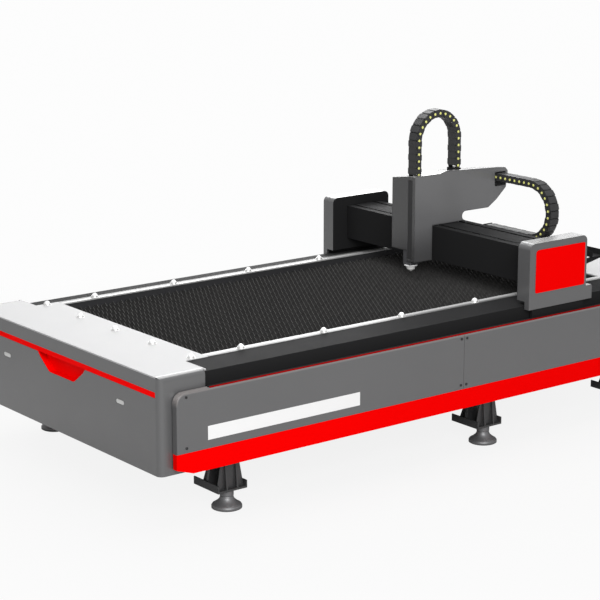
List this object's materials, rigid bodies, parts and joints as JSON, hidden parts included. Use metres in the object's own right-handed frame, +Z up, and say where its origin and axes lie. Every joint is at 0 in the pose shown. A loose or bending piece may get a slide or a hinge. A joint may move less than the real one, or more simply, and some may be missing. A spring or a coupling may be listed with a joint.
{
  "type": "laser cutting machine",
  "caption": "Open flatbed laser cutting machine with a travelling gantry, a cross carriage, a lifting head, cable chains and a bed of saw-tooth slats.",
  "frame": {"origin": "centre of the whole model's plan box, on the floor", "axes": "+X along the bed from the front cover towards the rear, +Z up, +Y across the bed"},
  "size_m": [4.208, 2.132, 1.9309],
  "materials": {
    "frame_paint": "satin",
    "body_grey": "satin",
    "red_paint": "gloss",
    "light_deck": "satin",
    "bright_strip": "satin",
    "black_paint": "satin",
    "black_oxide": "satin",
    "ground_steel": "satin",
    "zinc": "satin",
    "foot_iron": "satin",
    "slat_steel": "matt",
    "tray_steel": "matt",
    "ball_steel": "polished",
    "motor_black": "satin",
    "machined": "satin",
    "head_grey": "satin",
    "head_white": "gloss",
    "nozzle_metal": "polished",
    "chain_plastic": "matt",
    "frame_stop": "matt"
  },
  "bodies": {
    "bed": {"side_tubes": "frame_paint", "cross_members": "frame_paint", "edge_tubes": "frame_paint", "foot_brackets": "black_paint", "foot_studs": "zinc", "foot_nuts": "zinc", "bell_feet": "foot_iron", "panel_mounts": "frame_paint", "side_panels": "body_grey", "skirts": "red_paint", "top_trims": "red_paint", "panel_screws": "black_oxide", "front_cover": "body_grey", "front_insert": "red_paint", "rear_cover": "body_grey", "front_deck": "light_deck", "rear_deck": "light_deck", "edge_strips": "bright_strip", "rail_covers": "black_paint", "ball_cups": "zinc", "transfer_balls": "ball_steel", "slats": "slat_steel", "slat_combs": "frame_paint", "slag_trays": "tray_steel", "x_rails": "ground_steel", "x_racks": "ground_steel", "end_stops": "frame_stop"},
    "gantry": {"beam": "frame_paint", "beam_covers": "black_paint", "gantry_legs": "black_paint", "x_blocks": "ground_steel", "x_motors": "motor_black", "housings": "body_grey", "housing_backs": "black_paint", "housing_plates": "red_paint", "y_rails": "ground_steel", "y_rack": "ground_steel", "chain_tray": "black_paint", "y_chain_fixed": "chain_plastic"},
    "pinion_near": {"x_pinion_near": "ground_steel"},
    "pinion_far": {"x_pinion_far": "ground_steel"},
    "carriage": {"carriage_frame": "machined", "y_blocks": "ground_steel", "carriage_cover": "body_grey", "slot_band": "black_paint", "z_rails": "ground_steel", "y_motor": "motor_black", "z_motor": "motor_black", "chain_foot": "black_paint", "y_chain_moving": "chain_plastic", "z_chain": "chain_plastic"},
    "pinion_cross": {"y_pinion": "ground_steel"},
    "screw": {"z_screw": "ground_steel"},
    "chain_bend": {"y_chain_bend": "chain_plastic"},
    "head": {"head_slide": "machined", "z_blocks": "ground_steel", "head_body": "head_grey", "nozzle_flange": "head_white", "nozzle": "nozzle_metal", "chain_arm": "black_paint"}
  },
  "joints": [
    {"name": "gantry_travel", "type": "slide", "parent": "bed", "child": "gantry", "axis": [1, 0, 0], "range_m": [-2.2, 0.8]},
    {"name": "carriage_travel", "type": "slide", "parent": "gantry", "child": "carriage", "axis": [0, 1, 0], "range_m": [-0.833, 0.617], "deforming": ["y_chain_moving", "y_chain_fixed"]},
    {"name": "head_lift", "type": "slide", "parent": "carriage", "child": "head", "axis": [0, 0, 1], "range_m": [-0.015, 0.1], "deforming": ["z_chain"]},
    {"name": "chain_bend_travel", "type": "slide", "parent": "gantry", "child": "chain_bend", "axis": [0, 1, 0], "range_m": [-0.4185, 0.3105]},
    {"name": "pinion_near_spin", "type": "hinge", "parent": "gantry", "child": "pinion_near", "pos_m": [0.917, -0.82, 0.75], "axis": [0, 1, 0], "range_deg": [-5043.03, 1834.46]},
    {"name": "pinion_far_spin", "type": "hinge", "parent": "gantry", "child": "pinion_far", "pos_m": [0.917, 0.82, 0.75], "axis": [0, 1, 0], "range_deg": [-5043.03, 1834.46]},
    {"name": "pinion_cross_spin", "type": "hinge", "parent": "carriage", "child": "pinion_cross", "pos_m": [1.096, 0.133, 1.098], "axis": [0, 0, 1], "range_deg": [-2387.37, 1768.58]},
    {"name": "screw_spin", "type": "hinge", "parent": "carriage", "child": "screw", "pos_m": [0.732, 0.133, 1.1], "axis": [0, 0, 1], "range_deg": [-541, 3601]}
  ],
  "couplings": [
    {"joint": "chain_bend_travel", "follows": "carriage_travel", "ratio": 0.5},
    {"joint": "pinion_near_spin", "follows": "gantry_travel", "rad_per_m": 40},
    {"joint": "pinion_far_spin", "follows": "gantry_travel", "rad_per_m": 40},
    {"joint": "pinion_cross_spin", "follows": "carriage_travel", "rad_per_m": 50},
    {"joint": "screw_spin", "follows": "head_lift", "rad_per_m": 628.32}
  ]
}
